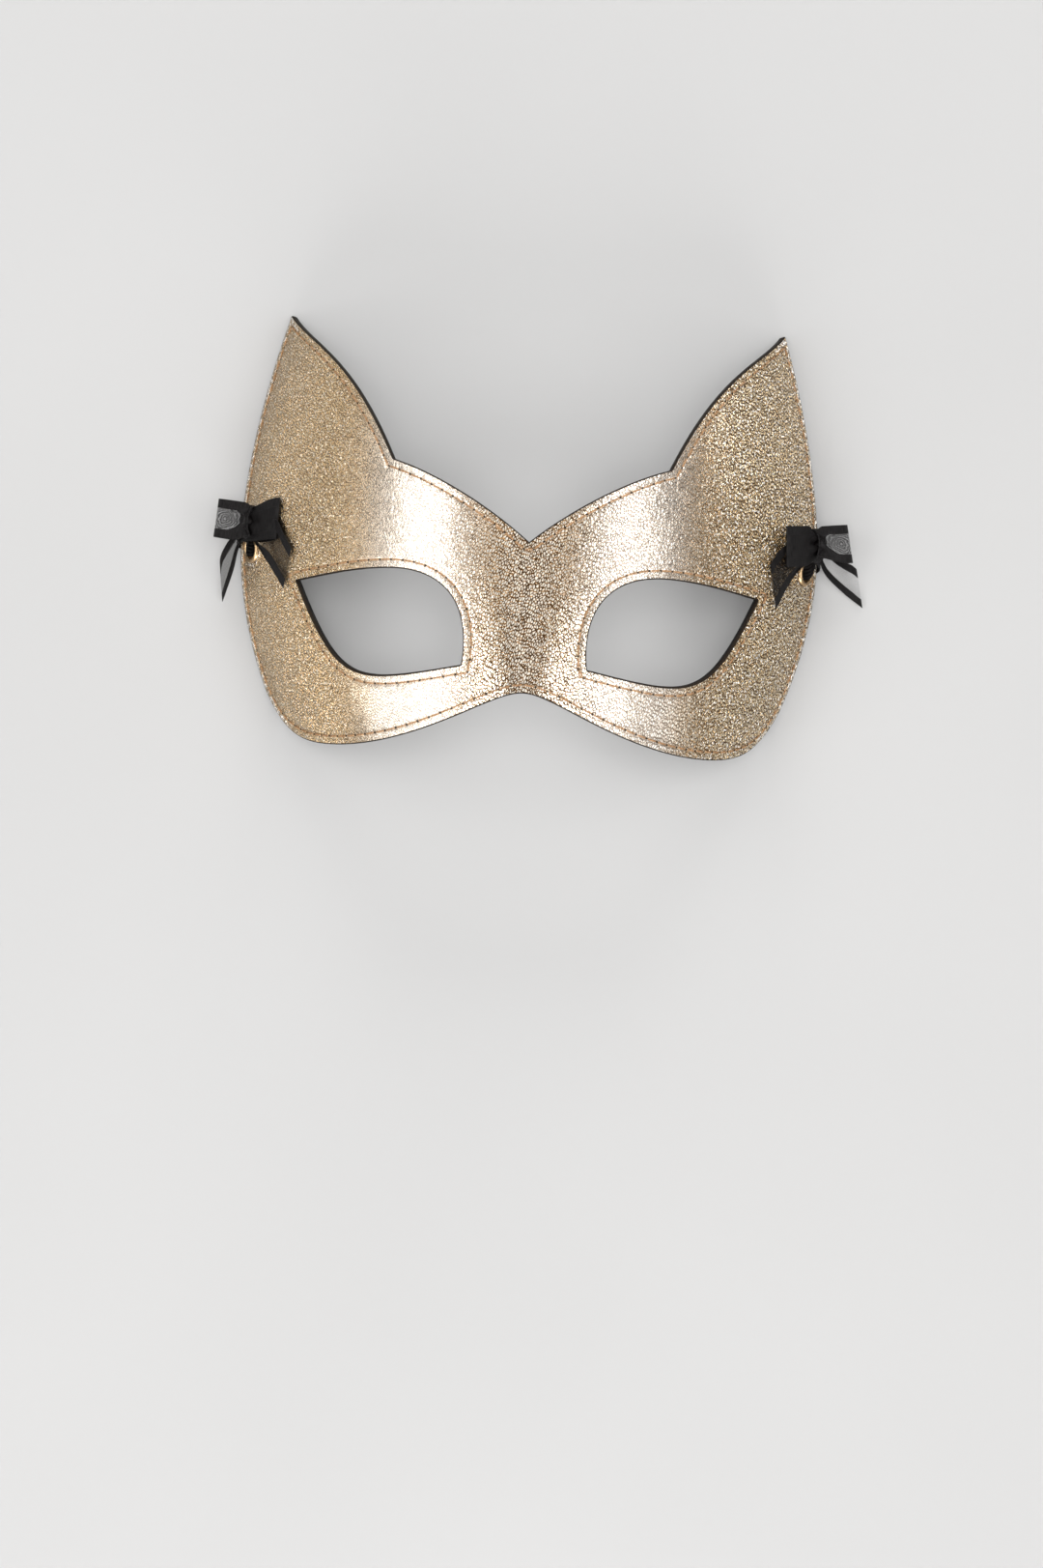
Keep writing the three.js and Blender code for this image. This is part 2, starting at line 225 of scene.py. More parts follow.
nearest_cut = Nearest(np.concatenate([evenly_round(loop, fine_spacing) for loop in cuts]))

# The sine of a turn from which a corner counts as open, and the shares of its own distance or
# spacing that a point of a row, of a needle's path or of the fill keeps from every cut
opening_turn = 0.3
row_clearance = 0.97
path_clearance = 0.985
fill_clearance = 0.7


def left_of(steps):
    """Ways of length 1 that point to the left of each step."""
    sideways = np.stack([-steps[:, 1], steps[:, 0]], axis=1)
    return sideways / np.linalg.norm(sideways, axis=1, keepdims=True)


def row_beside(loop, distance):
    """Points at one distance from a cut, with an arc of them round each corner that opens."""
    ahead = np.roll(loop, -1, axis=0) - loop
    inward = left_of(ahead)
    rows = [loop + ahead / 2 + inward * distance]
    before = np.roll(inward, 1, axis=0)
    turns = before[:, 0] * inward[:, 1] - before[:, 1] * inward[:, 0]
    for i in np.flatnonzero(turns < -opening_turn):
        for share in np.linspace(0, 1, 2 + int(-turns[i] * distance / cut_spacing)):
            way = before[i] * (1 - share) + inward[i] * share
            rows.append(loop[i : i + 1] + way / np.linalg.norm(way) * distance)
    points = np.concatenate(rows)
    clear = nearest_cut.distance(points)
    return points[clear > distance * row_clearance]


def on_leather(points):
    """Which points are inside the outline and outside the holes."""
    inside = np.zeros(len(points), bool)
    s, v = points.T
    for loop in cuts:
        for (s0, v0), (s1, v1) in zip(loop, np.roll(loop, -1, axis=0)):
            if v0 != v1:
                crossed = (v0 > v) != (v1 > v)
                inside ^= crossed & (s < s0 + (v - v0) * (s1 - s0) / (v1 - v0))
    return inside


def honeycomb(spacing, clear_of_cuts):
    """Points at even steps all over the leather, clear of its cuts."""
    width, height = outline.max(axis=0)
    rows = np.arange(-height, height, spacing * math.sqrt(0.75))
    columns = np.arange(-width, width, spacing)
    points = np.array([(s + (i % 2) * spacing / 2, v) for i, v in enumerate(rows) for s in columns])
    clear = nearest_cut.distance(points)
    points = points[clear > clear_of_cuts]
    return points[on_leather(points)]


class Fill:
    """Triangles that fill the flat pattern between its cuts. The cuts' own points come first."""

    def __init__(self, row_distances, spacing):
        inner = [row_beside(loop, distance) for loop in cuts for distance in row_distances]
        last_row = max(row_distances, default=0)
        inner.append(honeycomb(spacing, last_row + spacing * fill_clearance))
        cut_points = np.concatenate(cuts)
        points = np.concatenate([cut_points, *inner])
        edges, first = [], 0
        for loop in cuts:
            ring = [first + i for i in range(len(loop))]
            edges += zip(ring, ring[1:] + ring[:1])
            first += len(loop)
        flat = [Vector(point) for point in points / mm]
        same_place = 1e-6
        filled = delaunay_2d_cdt(flat, edges, [], 0, same_place)
        vertices, _, triangles, came_from, _, _ = filled
        triangles = np.array(triangles)
        # Only triangles whose middle is on the leather are kept
        middles = np.array([vertex[:] for vertex in vertices])[triangles].mean(axis=1) * mm
        triangles = triangles[on_leather(middles)]
        # The points are put in order again, those of the cuts first
        order = np.full(len(points), -1)
        for i, sources in enumerate(came_from):
            for source in sources:
                order[source] = i
        used = np.unique(triangles)
        place = np.full(len(vertices), -1)
        cut_order = order[: len(cut_points)]
        rest = np.setdiff1d(used, cut_order)
        place[cut_order] = np.arange(len(cut_order))
        place[rest] = len(cut_order) + np.arange(len(rest))
        kept = np.concatenate([cut_order, rest])
        self.points = np.array([vertices[i] for i in kept]) * mm
        self.triangles = place[triangles]


edge_rows = [0.05 * mm, 0.13 * mm, 0.24 * mm, 0.4 * mm, 0.9 * mm, 1.4 * mm]
seam_rows = [seam_inset - 0.4 * mm, seam_inset, seam_inset + 0.4 * mm]
# The sides that show are filled finely, and the sides that are glued together coarsely
shown_spacing = 0.58 * mm
hidden_spacing = 4 * mm
shown_fill = Fill([*edge_rows, *seam_rows], shown_spacing)
hidden_fill = Fill([], hidden_spacing)


def inset_path(loop):
    """The needle's path beside a cut: a closed line at the seam's inset, with pointed corners."""
    ahead = left_of(np.roll(loop, -1, axis=0) - loop)
    before = np.roll(ahead, 1, axis=0)
    reach = seam_inset / (1 + (ahead * before).sum(axis=1, keepdims=True))
    path = loop + (ahead + before) * reach
    clear = nearest_cut.distance(path)
    return evenly_round(path[clear > seam_inset * path_clearance], fine_spacing)


seams = [inset_path(loop) for loop in sewn_cuts]
holes = [evenly_round(seam, stitch_length) for seam in seams]
nearest_seam = Nearest(np.concatenate(seams))
nearest_hole = Nearest(np.concatenate(holes))
edge_rounding = 0.32 * mm
seam_groove = {"depth": 0.1 * mm, "width": 0.4 * mm}
needle_dimple = {"depth": 0.12 * mm, "width": 0.45 * mm}
surface_slack = {"depth": 0.09 * mm, "size": 9 * mm}
surface_creases = {"depth": 0.03 * mm, "finer": 3.7}
settled_width = 1.5 * mm


def rounded_off(clear):
    """How far a burnished edge falls away at a distance from the cut."""
    inside = np.clip(edge_rounding - clear, 0, edge_rounding)
    return edge_rounding - np.sqrt(edge_rounding**2 - inside**2)


def bell(distance, width):
    return np.exp(-((distance / width) ** 2))


class Leather:
    """The flat pattern's measures at every point of a fill, for its relief and its colours."""

    def __init__(self, fill):
        self.fill = fill
        self.s, self.v = fill.points.T
        self.cut_distance = nearest_cut.distance(fill.points)
        self.cut_distance[: sum(map(len, cuts))] = 0
        self.seam_distance = nearest_seam.distance(fill.points)
        self.hole_distance = nearest_hole.distance(fill.points)

    def relief(self, seed):
        """Depth of the worked surface below a flat one."""
        groove = seam_groove["depth"] * bell(self.seam_distance, seam_groove["width"])
        dimple = needle_dimple["depth"] * bell(self.hole_distance, needle_dimple["width"])
        size, finer = surface_slack["size"], surface_creases["finer"]
        places = [Vector((s / size, v / size, seed)) for s, v in self.fill.points]
        slack = np.array([noise.noise(place) for place in places]) * surface_slack["depth"]
        creases = np.array([noise.noise(place * finer) for place in places])
        loose = slack + creases * surface_creases["depth"]
        settled = 1 - bell(self.cut_distance, settled_width)
        return rounded_off(self.cut_distance) + groove + dimple + loose * settled


shown_leather = Leather(shown_fill)
hidden_leather = Leather(hidden_fill)


def new_piece(name, places, faces):
    """A piece from its points and faces, selected so that it can be finished."""
    mesh = bpy.data.meshes.new(name)
    mesh.from_pydata(places.tolist(), [], faces)
    piece = bpy.data.objects.new(name, mesh)
    bpy.context.collection.objects.link(piece)
    bpy.context.view_layer.objects.active = piece
    piece.select_set(True)
    return piece


def keep_measure(piece, name, values):
    """Keeps a number or a place at each point of a piece, for its material."""
    if values.ndim == 1:
        kept = piece.data.attributes.new(name, "FLOAT", "POINT")
        kept.data.foreach_set("value", values)
    else:
        kept = piece.data.attributes.new(name, "FLOAT_VECTOR", "POINT")
        kept.data.foreach_set("vector", values.ravel())


def leather_piece(name, front, front_depth, rear, rear_depth):
    """One layer of leather, with walls along its cuts. No point of it goes below the table."""
    sides = [(front, front_depth), (rear, rear_depth)]
    flat = np.concatenate([np.column_stack([side.fill.points, depth]) for side, depth in sides])
    places = leather_point(*flat.T)
    places[:, 2] = np.clip(places[:, 2], 0, None)
    first_rear = len(front.fill.points)
    faces = front.fill.triangles.tolist()
    faces += (rear.fill.triangles[:, ::-1] + first_rear).tolist()
    start = 0
    for loop in cuts:
        for i in range(len(loop)):
            a, b = start + i, start + (i + 1) % len(loop)
            faces.append((b, a, first_rear + a, first_rear + b))
        start += len(loop)
    piece = new_piece(name, places, faces)
    for kind in ("cut_distance", "hole_distance", "seam_distance"):
        distances = np.concatenate([getattr(side, kind) for side, _ in sides])
        keep_measure(piece, kind, distances / mm)
    keep_measure(piece, "pattern", flat / mm)
    bpy.ops.object.shade_smooth_by_angle(angle=math.radians(50))
    piece.select_set(False)
    return piece


class Signal:
    """A value, vector or colour in a material, on which arithmetic can be done."""

    def __init__(self, tree, socket):
        self.tree = tree
        self.socket = socket

    def node(self, kind, settings=None, inputs=None, output=0):
        """One step of the material and the output to go on with. Settings come before inputs."""
        made = self.tree.nodes.new(kind)
        for name, value in (settings or {}).items():
            if name == "stops":
                fill_ramp(made.color_ramp, value)
            else:
                setattr(made, name, value)
        for name, value in (inputs or {}).items():
            if isinstance(value, Signal):
                self.tree.links.new(value.socket, made.inputs[name])
            else:
                made.inputs[name].default_value = value
        return Signal(self.tree, made.outputs[output])

    def math(self, operation, *values):
        """Arithmetic on the values given."""
        return self.node("ShaderNodeMath", {"operation": operation}, dict(enumerate(values)))

    def __add__(self, other):
        return self.math("ADD", self, other)

    def __radd__(self, other):
        return self.math("ADD", other, self)

    def __sub__(self, other):
        return self.math("SUBTRACT", self, other)

    def __rsub__(self, other):
        return self.math("SUBTRACT", other, self)

    def __mul__(self, other):
        return self.math("MULTIPLY", self, other)

    def __rmul__(self, other):
        return self.math("MULTIPLY", other, self)

    def smooth(self, start, end):
        """Runs from 0 at start to 1 at end, with soft ends."""
        settings = {"interpolation_type": "SMOOTHSTEP"}
        return self.node("ShaderNodeMapRange", settings, {"Value": self, 1: start, 2: end})

    def larger(self, other):
        return self.math("MAXIMUM", self, other)

    def absolute(self):
        return self.math("ABSOLUTE", self)

    def sine(self):
        return self.math("SINE", self)

    def axis(self, number):
        """One part of a vector, counted from 0."""
        return self.node("ShaderNodeSeparateXYZ", None, {0: self}, number)

    def vector(self, operation, other):
        return self.node("ShaderNodeVectorMath", {"operation": operation}, {0: self, 1: other})

    def colour(self, blend_type, factor, other):
        """Mixes another colour into this one."""
        settings = {"data_type": "RGBA", "blend_type": blend_type, "clamp_result": True}
        return self.node("ShaderNodeMix", settings, {0: factor, 6: self, 7: other}, output=2)

    def noise(self, scale, detail, output=0):
        inputs = {"Vector": self, "Scale": scale, "Detail": detail}
        return self.node("ShaderNodeTexNoise", None, inputs, output)

    def cells(self, scale, dimensions):
        """How far a place is from the nearest crack between scattered cells."""
        settings = {"feature": "DISTANCE_TO_EDGE", "voronoi_dimensions": dimensions}
        return self.node("ShaderNodeTexVoronoi", settings, {"Vector": self, "Scale": scale})

    def ramp(self, *stops):
        """Colours that follow this value, given as pairs of a value and a colour."""
        return self.node("ShaderNodeValToRGB", {"stops": stops}, {"Fac": self})


def fill_ramp(ramp, stops):
    while len(ramp.elements) < len(stops):
        ramp.elements.new(1)
    for element, (position, colour) in zip(ramp.elements, stops):
        element.position = position
        element.color = colour


def bare_material(name):
    """A material with nothing but its shader, that shader, and where its steps are added."""
    material = bpy.data.materials.new(name)
    material.use_nodes = True
    shader = material.node_tree.nodes["Principled BSDF"]
    return material, shader, Signal(material.node_tree, None)


def feed(shader, inputs):
    """Sets what the shader takes in, to values or signals."""
    for name, value in inputs.items():
        if isinstance(value, Signal):
            value.tree.links.new(value.socket, shader.inputs[name])
        else:
            shader.inputs[name].default_value = value


def measure(nodes, name, output="Fac"):
    """What keep_measure has kept at the points of the piece."""
    return nodes.node("ShaderNodeAttribute", {"attribute_name": name}, output=output)


def bump(nodes, height, distance):
    inputs = {"Height": height, "Distance": distance, "Strength": 1}
    return nodes.node("ShaderNodeBump", None, inputs)


coarse_cells = 1.1
fine_cells = 1.45
cell_lean = 0.4
cell_shape = (1.6, 0.85, 1)
crease_shade_brown = (0.045, 0.017, 0.004, 1)
dull_gold = (0.35, 0.215, 0.1, 1)
pale_gold = (0.59, 0.47, 0.32, 1)
highlight_gold = (0.95, 0.89, 0.80, 1)
wing_green = (0.95, 0.905, 0.78, 1)
mottled_grey = (0.94, 0.93, 0.92, 1)
slack_olive = (0.93, 0.895, 0.81, 1)
glint_white = (1, 0.96, 0.9, 1)
groove_wear_and_shade_brown = (0.30, 0.17, 0.08, 1)
dye_and_hole_black = (0.012, 0.008, 0.005, 1)


class FoilZones:
    """How the foil changes from side to side, as shares from 0 to 1 over the flat pattern.

    Places are in millimetres from the middle line. The hide is coarser over the nose and on the
    wearer's left, with slack folds towards that side edge. Beside the nose it is stretched smooth.
    """

    def __init__(self, pattern):
        sideways = pattern.axis(0)
        self.from_middle = sideways.absolute()
        self.coarse = sideways.smooth(-60, 0)
        self.slack = sideways.smooth(42, 75)
        self.wing = self.from_middle.smooth(40, 62)
        self.stretched = self.from_middle.smooth(6, 24) * (1 - self.wing)
        self.nose = 1 - self.from_middle.smooth(1, 12)

    def crease_depth(self):
        hide = (self.coarse * 0.58 + 0.52) * (1 - self.stretched * 0.55)
        return hide + self.nose * 0.55 + self.slack * 0.5


def led_astray(pattern):
    """The flat pattern with its places moved about a little, so that nothing runs straight."""
    stray = pattern.noise(0.25, 2, output=1).vector("SUBTRACT", (0.5, 0.5, 0.5))
    return pattern.vector("ADD", stray.vector("MULTIPLY", (1.2, 1.2, 0)))


def foil_cells(pattern, bent, zones):
    """Heights of the foil's long cells above the creases between them. Some cells merge."""
    lean = {0: bent, "Angle": cell_lean}
    turned = bent.node("ShaderNodeVectorRotate", {"rotation_type": "Z_AXIS"}, lean)
    drawn = turned.vector("MULTIPLY", cell_shape)
    coarse = drawn.cells(coarse_cells, "2D") * zones.coarse
    cells = coarse + drawn.cells(fine_cells, "2D") * (1 - zones.coarse)
    merging = (drawn.noise(0.5, 1) - 0.5) * (zones.nose * 0.1 + 0.2)
    return cells + (pattern.noise(1.7, 1) - 0.5) * 0.3 + merging


def foil_gold(relief, pattern, zones):
    """Gold with painted shade in creases, painted highlight on tops and by the nose, greener wings.
    """
    # Painted shade makes the creases dark brown, and painted highlight makes the cell tops pale
    gold = relief.ramp(
        (0.1, crease_shade_brown), (0.27, dull_gold), (0.45, pale_gold), (0.75, highlight_gold)
    )
    # Painted highlight: a band beside the nose is painted paler and less saturated
    highlight_band = zones.stretched * (1 - zones.from_middle.smooth(36, 56))
    highlight_bleach = {"Color": gold, "Saturation": 1 - highlight_band * 0.5}
    highlight_paled = gold.node("ShaderNodeHueSaturation", None, highlight_bleach)
    greener = highlight_paled.colour("MULTIPLY", zones.wing, wing_green)
    mottled = pattern.noise(0.12, 3).smooth(0.3, 0.7)
    toned = greener.colour("MULTIPLY", mottled, mottled_grey)
    return toned.colour("MULTIPLY", zones.slack, slack_olive)


def crinkled_foil():
    material, shader, nodes = bare_material("crinkled_foil")
    pattern = measure(nodes, "pattern", "Vector")
    from_cut = measure(nodes, "cut_distance")
    zones = FoilZones(pattern)
    bent = led_astray(pattern)
    cells = foil_cells(pattern, bent, zones)
    pebbles = cells.smooth(0.02, zones.wing * 0.08 + 0.2)
    depth = zones.crease_depth()
    # Slack folds, raised specks on the wings, and puckers in the margin of the side edges
    folds = bent.vector("MULTIPLY", (1.3, 0.7, 1)).noise(1.05, 0.5)
    slack = folds * (zones.slack * 1.4 + zones.coarse * 0.2 + 0.2)
    specks = pattern.noise(1.4, 0).smooth(0.6, 0.7) * zones.wing * (zones.coarse * 0.5 + 0.5)
    margin = (1 - from_cut.smooth(1.5, 2.3)) * zones.from_middle.smooth(72, 80)
    puckers = pattern.noise(0.8, 1) * margin
    height = pebbles * depth * (zones.wing * 0.4 + 0.35) + slack + specks * 0.5 + puckers * 2.2
    relief = (cells * 2.3 - 0.4) * depth + 0.4 - zones.nose * 0.03
    # Painted glints: specks on the wings and puckers in the margin are painted pale
    bright = (specks * 0.7).larger(puckers.smooth(0.48, 0.6) * 0.8)
    glinted_gold = foil_gold(relief, pattern, zones).colour("MIX", bright, glint_white)
    # Beside the seam the foil is brown, partly rubbed through and partly painted shade in the
    # groove
    sewn = 1 - measure(nodes, "seam_distance").smooth(0.12, 0.42)
    rubbed = glinted_gold.colour("MIX", sewn * 0.75, groove_wear_and_shade_brown)
    # Dye covers the edges to a ragged line, and the needle holes are painted black as painted shade
    ragged = from_cut + (pattern.noise(1.6, 3) - 0.5) * 0.25
    dyed = 1 - ragged.smooth(0.32, 0.44)
    needle_hole_shade = 1 - measure(nodes, "hole_distance").smooth(0.28, 0.5)
    dye_and_hole_shade = dyed.larger(needle_hole_shade)
    glitter = pattern.noise(2.2, 1) * 0.06 + (1 - pebbles) * depth * 0.08
    feed(
        shader,
        {
            "Base Color": rubbed.colour("MIX", dye_and_hole_shade, dye_and_hole_black),
            "Metallic": 1 - dye_and_hole_shade,
            "Specular IOR Level": 0.1,
            "Roughness": glitter + 0.19 + sewn * 0.15 + dye_and_hole_shade * 0.4,
            "Normal": bump(nodes, height, 0.18 * mm),
        },
    )
    return material


gold_face = leather_piece(
    "gold_face",
    shown_leather,
    gold_front + shown_leather.relief(seed=3),
    hidden_leather,
    np.full(len(hidden_leather.s), gold_rear),
)
gold_face.data.materials.append(crinkled_foil())
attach(gold_face, "root")
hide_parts("face_leather")

# Black backing leather
# A firmer piece of black calf, about 1 mm thick, cut to the same pattern. It is glued behind the
# gold face, sewn with it, and its smooth side lies against the wearer. Its edges are burnished.

backing_front = gold_rear + 0.02 * mm
backing_rear = 1.9 * mm
calf_black = (0.006, 0.0055, 0.0055, 1)
calf_rubbed = (0.014, 0.013, 0.012, 1)


def black_calf():
    material, shader, nodes = bare_material("black_calf")
    pattern = measure(nodes, "pattern", "Vector")
    grain = pattern.cells(1.6, "3D").smooth(0, 0.25) + pattern.noise(4, 2) * 0.5
    rubbed = pattern.noise(0.25, 3).smooth(0.45, 0.75)
    feed(
        shader,
        {
            "Base Color": rubbed.ramp((0, calf_black), (1, calf_rubbed)),
            "Roughness": 0.62 - rubbed * 0.12,
            "Specular IOR Level": 0.1,
            "Normal": bump(nodes, grain, 0.05 * mm),
        },
    )
    return material


black_backing = leather_piece(
    "black_backing",
    hidden_leather,
    np.full(len(hidden_leather.s), backing_front),
    shown_leather,
    backing_rear - shown_leather.relief(seed=8),
)
black_backing.data.materials.append(black_calf())
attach(black_backing, "root")
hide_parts("backing_leather")

# Stitching
# One row of lockstitch runs round the outline and one round each eye hole, in waxed tan thread.
# Each stitch lies in a shallow groove between two needle holes, on both sides of the leather.

thread_radius = 0.22 * mm
stitch_gap = 0.35 * mm
stitch_sinking = 0.42 * mm
stitch_standing = 0.45 * thread_radius
thread_brown = (0.22, 0.115, 0.045, 1)
thread_tan = (0.33, 0.19, 0.085, 1)
ply_shade = (0.6, 0.5, 0.42, 1)


def stitch_shape():
    """One stitch along +X, as points in shares of half its length and of the thread's radius."""
    bpy.ops.mesh.primitive_uv_sphere_add(segments=6, ring_count=8, radius=1)
    sphere = bpy.context.object
    bpy.ops.object.mode_set(mode="EDIT")
    bpy.ops.mesh.select_all(action="SELECT")
    bpy.ops.transform.rotate(value=math.radians(-90), orient_axis="Y", center_override=(0, 0, 0))
    bpy.ops.object.mode_set(mode="OBJECT")
    mesh = sphere.data
    points = np.array([vertex.co[:] for vertex in mesh.vertices])
    faces = [tuple(polygon.vertices) for polygon in mesh.polygons]
    bpy.data.objects.remove(sphere)
    bpy.data.meshes.remove(mesh)
    return points, faces


stitch_points, stitch_faces = stitch_shape()


def stitches_along(seam_holes, surface_depth, out):
    """Bends one stitch into the groove between each two holes. out is 1 in front, -1 behind."""
    along, aside, above = stitch_points.T
    towards_hole = along**4
    fullness = np.clip(1.25 - towards_hole, 0, 1)
    places = []
    for start, end in zip(seam_holes, np.roll(seam_holes, -1, axis=0)):
        step = end - start
        length = np.linalg.norm(step)
        way = step / length
        middle = (start + end) / 2
        shift = along * (length - stitch_gap) / 2
        side = aside * thread_radius * fullness
        s = middle[0] + way[0] * shift - way[1] * side
        v = middle[1] + way[1] * shift + way[0] * side
        rise = above * thread_radius * fullness + stitch_standing - stitch_sinking * towards_hole
        places.append(leather_point(s, v, surface_depth - out * rise))
    return places


def thread_piece(name, seam_holes):
    places = stitches_along(seam_holes, seam_groove["depth"], 1)
    places += stitches_along(seam_holes, backing_rear - seam_groove["depth"], -1)
    count = len(stitch_points)
    faces = [
        [corner + i * count for corner in face] for i in range(len(places)) for face in stitch_faces
    ]
    piece = new_piece(name, np.concatenate(places), faces)
    along, aside, above = np.tile(stitch_points, (len(places), 1)).T
    lay = [along * stitch_length / 2 / mm, np.arctan2(above, aside), np.zeros(len(along))]
    keep_measure(piece, "lay", np.column_stack(lay))
    bpy.ops.object.mode_set(mode="EDIT")
    bpy.ops.mesh.select_all(action="SELECT")
    bpy.ops.mesh.normals_make_consistent(inside=False)
    bpy.ops.object.mode_set(mode="OBJECT")
    bpy.ops.object.shade_smooth()
    piece.select_set(False)
    return piece


def waxed_thread():
    material, shader, nodes = bare_material("waxed_thread")
    place = nodes.node("ShaderNodeTexCoord", output="Object")
    lay = measure(nodes, "lay", "Vector")
    twist_per_mm = 5.2
    plies = (lay.axis(0) * twist_per_mm + lay.axis(1)).sine()
    tone = place.noise(420, 2).ramp((0.3, thread_brown), (0.7, thread_tan))
    feed(
        shader,
        {
            "Base Color": tone.colour("MULTIPLY", 1 - plies.smooth(-1, 0.2), ply_shade),
            "Roughness": 0.55,
            "Normal": bump(nodes, plies, 0.05 * mm),
        },
    )
    return material


thread_material = waxed_thread()
for name, seam_holes, node in (
    ("outline_stitches", holes[0], "outline_seam_thread"),
    ("left_eye_stitches", holes[1], "left_eye_seam_thread"),
    ("right_eye_stitches", holes[2], "right_eye_seam_thread"),
):
    stitches = thread_piece(name, seam_holes)
    stitches.data.materials.append(thread_material)
    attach(stitches, "root")
    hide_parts(node)

# Eyelets
# A brass eyelet is pressed through both leathers near each side edge. Its barrel is rolled over
# into a domed flange in front and a flatter rim behind.

eyelet_bore = 2.45 * mm
eyelet_barrel = 2.85 * mm
eyelet_flange = 3.8 * mm
eyelet_clearance = 0.05 * mm
flange_dome = 0.78 * mm
rim_dome = 0.55 * mm
shaded_brass = (0.40, 0.27, 0.145, 1)
bright_brass = (0.56, 0.40, 0.235, 1)


def eyelet_profile():
    """The eyelet's section as radius and height above the gold face, from the bore outwards."""
    front = eyelet_clearance
    rear = -(backing_rear + eyelet_clearance)
    reach = (eyelet_flange - eyelet_bore) / 2
    middle = (eyelet_flange + eyelet_bore) / 2
    over = [
        (middle + reach * math.cos(angle), front + flange_dome * math.sin(angle))
        for angle in np.linspace(0, math.pi, 13)
    ]
    under = [
        (middle - reach * math.cos(angle), rear - rim_dome * math.sin(angle))
        for angle in np.linspace(0, math.pi, 9)
    ]
    return [(eyelet_barrel, rear), (eyelet_barrel, front), *over, *under]


def stand_on_face(piece, s, v):
    """Moves a shape made along +Z so that it stands on the gold face, in its mesh."""
    out = Vector(face_normal(np.array(s), np.array(v)))
    turn = Vector((0, 0, 1)).rotation_difference(out).to_matrix().to_4x4()
    piece.data.transform(Matrix.Translation(face_point(np.array(s), np.array(v))) @ turn)


def eyelet_piece(name, side):
    profile = eyelet_profile()
    bpy.ops.mesh.primitive_circle_add(vertices=48, radius=profile[0][0])
    piece = bpy.context.object
    piece.name = piece.data.name = name
    bpy.ops.object.mode_set(mode="EDIT")
    bpy.ops.mesh.select_all(action="SELECT")
    bpy.ops.transform.translate(value=(0, 0, profile[0][1]))
    for (radius, height), (next_radius, next_height) in zip(profile, profile[1:]):
        bpy.ops.mesh.extrude_edges_move(
            TRANSFORM_OT_translate={"value": (0, 0, next_height - height)}
        )
        grow = next_radius / radius
        bpy.ops.transform.resize(value=(grow, grow, 1), center_override=(0, 0, next_height))
    bpy.ops.mesh.select_all(action="DESELECT")
    bpy.ops.mesh.select_non_manifold()
    bpy.ops.mesh.bridge_edge_loops()
    bpy.ops.mesh.select_all(action="SELECT")
    bpy.ops.mesh.normals_make_consistent(inside=False)
    bpy.ops.object.mode_set(mode="OBJECT")
    bpy.ops.object.shade_smooth_by_angle(angle=math.radians(60))
    piece.select_set(False)
    stand_on_face(piece, side * eyelet_centre[0], eyelet_centre[1])
    return piece


def polished_brass():
    material, shader, nodes = bare_material("polished_brass")
    place = nodes.node("ShaderNodeTexCoord", output="Object")
    handled = place.noise(900, 3)
    feed(
        shader,
        {
            "Base Color": place.noise(350, 3).ramp((0.35, shaded_brass), (0.65, bright_brass)),
            "Metallic": 1.0,
            "Roughness": handled.smooth(0.3, 0.8) * 0.2 + 0.22,
            "Normal": bump(nodes, handled, 0.01 * mm),
        },
    )
    return material


brass_material = polished_brass()
for name, side in (("left", 1), ("right", -1)):
    eyelet = eyelet_piece(f"{name}_brass_eyelet", side)
    eyelet.data.materials.append(brass_material)
    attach(eyelet, "root")
    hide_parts(f"{name}_eyelet")

# Ribbon bows
# At each side one length of black organza ribbon with woven satin borders goes through the eyelet
# and round the edge of the mask, and is tied in a bow in front of them.

ribbon_width = 10.4 * mm
ribbon_thickness = 0.16 * mm
knot_size = {"wide": 2.1 * mm, "tall": 4.3 * mm, "deep": 2.1 * mm}
tie_width = 4.2 * mm
ribbon_columns = 29
shaded_black = (0.0012, 0.001, 0.001, 1)
sheen_black = (0.0085, 0.0075, 0.0075, 1)


def laid(s, v, out):
    """A point at a height above the gold face, in millimetres."""
    return leather_point(s * mm, v * mm, -out * mm)


def eased(share):
    """Runs from 0 to 1 with soft ends."""
    share = np.clip(share, 0, 1)
    return share * share * (3 - 2 * share)


def smooth_line(points, count):
    """A smooth curve through the points, at even steps, ends included."""
    points = np.array(points, float)
    before = np.concatenate([[2 * points[0] - points[1]], points, [2 * points[-1] - points[-2]]])
    line = []
    for a, b, c, d in zip(before, before[1:], before[2:], before[3:]):
        for t in np.linspace(0, 1, 24, endpoint=False):
            bend = 2 * b + (c - a) * t + (2 * a - 5 * b + 4 * c - d) * t**2
            line.append((bend + (3 * b - a - 3 * c + d) * t**3) / 2)
    return at_even_steps(np.array([*line, points[-1]]), count)


def strip_grid(left, right, pleats, seed, closeness, fullness=1):
    """A ribbon between two edges. Where they draw together its width goes into pleats.

    Fullness is the share of the pleats' depth that is left where they are pressed flat.
    Closeness goes to the material: 1 where the sheer middle is bunched up and lets no light
    through, 0 where it lies single and -1 where it lies double but open.
    """
    share = np.linspace(0, 1, ribbon_columns)
    middle = (left + right) / 2
    along = np.gradient(middle, axis=0)
    across = right - left
    width = np.linalg.norm(across, axis=1)
    out = np.cross(along, across)
    out /= np.linalg.norm(out, axis=1, keepdims=True)
    spare = np.clip(ribbon_width / width - 1, 0, None)
    depth = fullness * width * 2 * np.sqrt(spare) / (2 * math.pi * pleats)
    wave = np.sin(2 * math.pi * pleats * share + seed) * np.sin(math.pi * share) ** 0.35
    grid = left[:, None] + across[:, None] * share[None, :, None]
    grid += out[:, None] * (depth[:, None] * wave[None, :])[..., None]
    length = length_along(middle)
    from_middle = length - length[len(length) // 2]
    lay = [share * ribbon_width / mm, from_middle[:, None] / mm, closeness]
    return grid, np.stack(np.broadcast_arrays(*lay), axis=-1)


